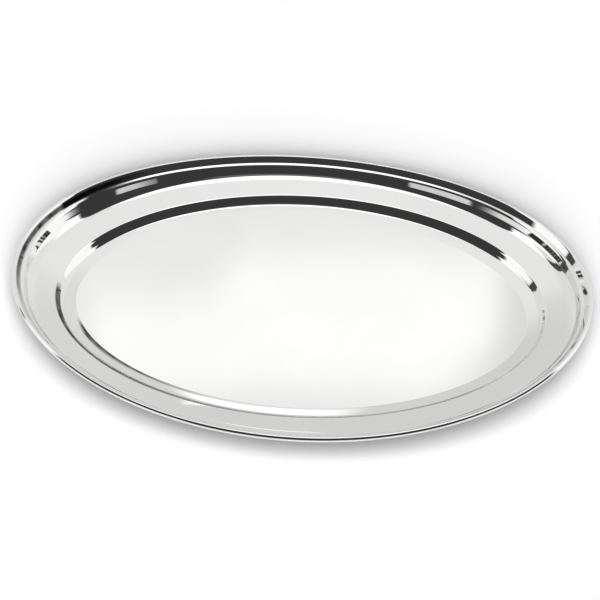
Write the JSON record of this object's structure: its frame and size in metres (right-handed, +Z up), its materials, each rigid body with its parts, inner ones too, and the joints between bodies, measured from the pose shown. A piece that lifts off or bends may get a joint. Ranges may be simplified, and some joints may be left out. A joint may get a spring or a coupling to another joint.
{
  "type": "oval serving tray",
  "caption": "Oval polished-steel serving tray: pressed flat well, sloping flange, raised rim with a rolled wired edge.",
  "frame": {"origin": "centre of the oval, on the plane the tray stands on", "axes": "+X along the long axis of the oval, +Y along the short axis, +Z up out of the well"},
  "size_m": [0.45, 0.312, 0.0291],
  "materials": {
    "polished_stainless": "mirror polished above, satin below",
    "drawn_steel_wire": "drawn wire, hidden in the rolled edge"
  },
  "bodies": {
    "root": {"tray_body": "polished_stainless", "rim_wire": "drawn_steel_wire"}
  },
  "joints": []
}
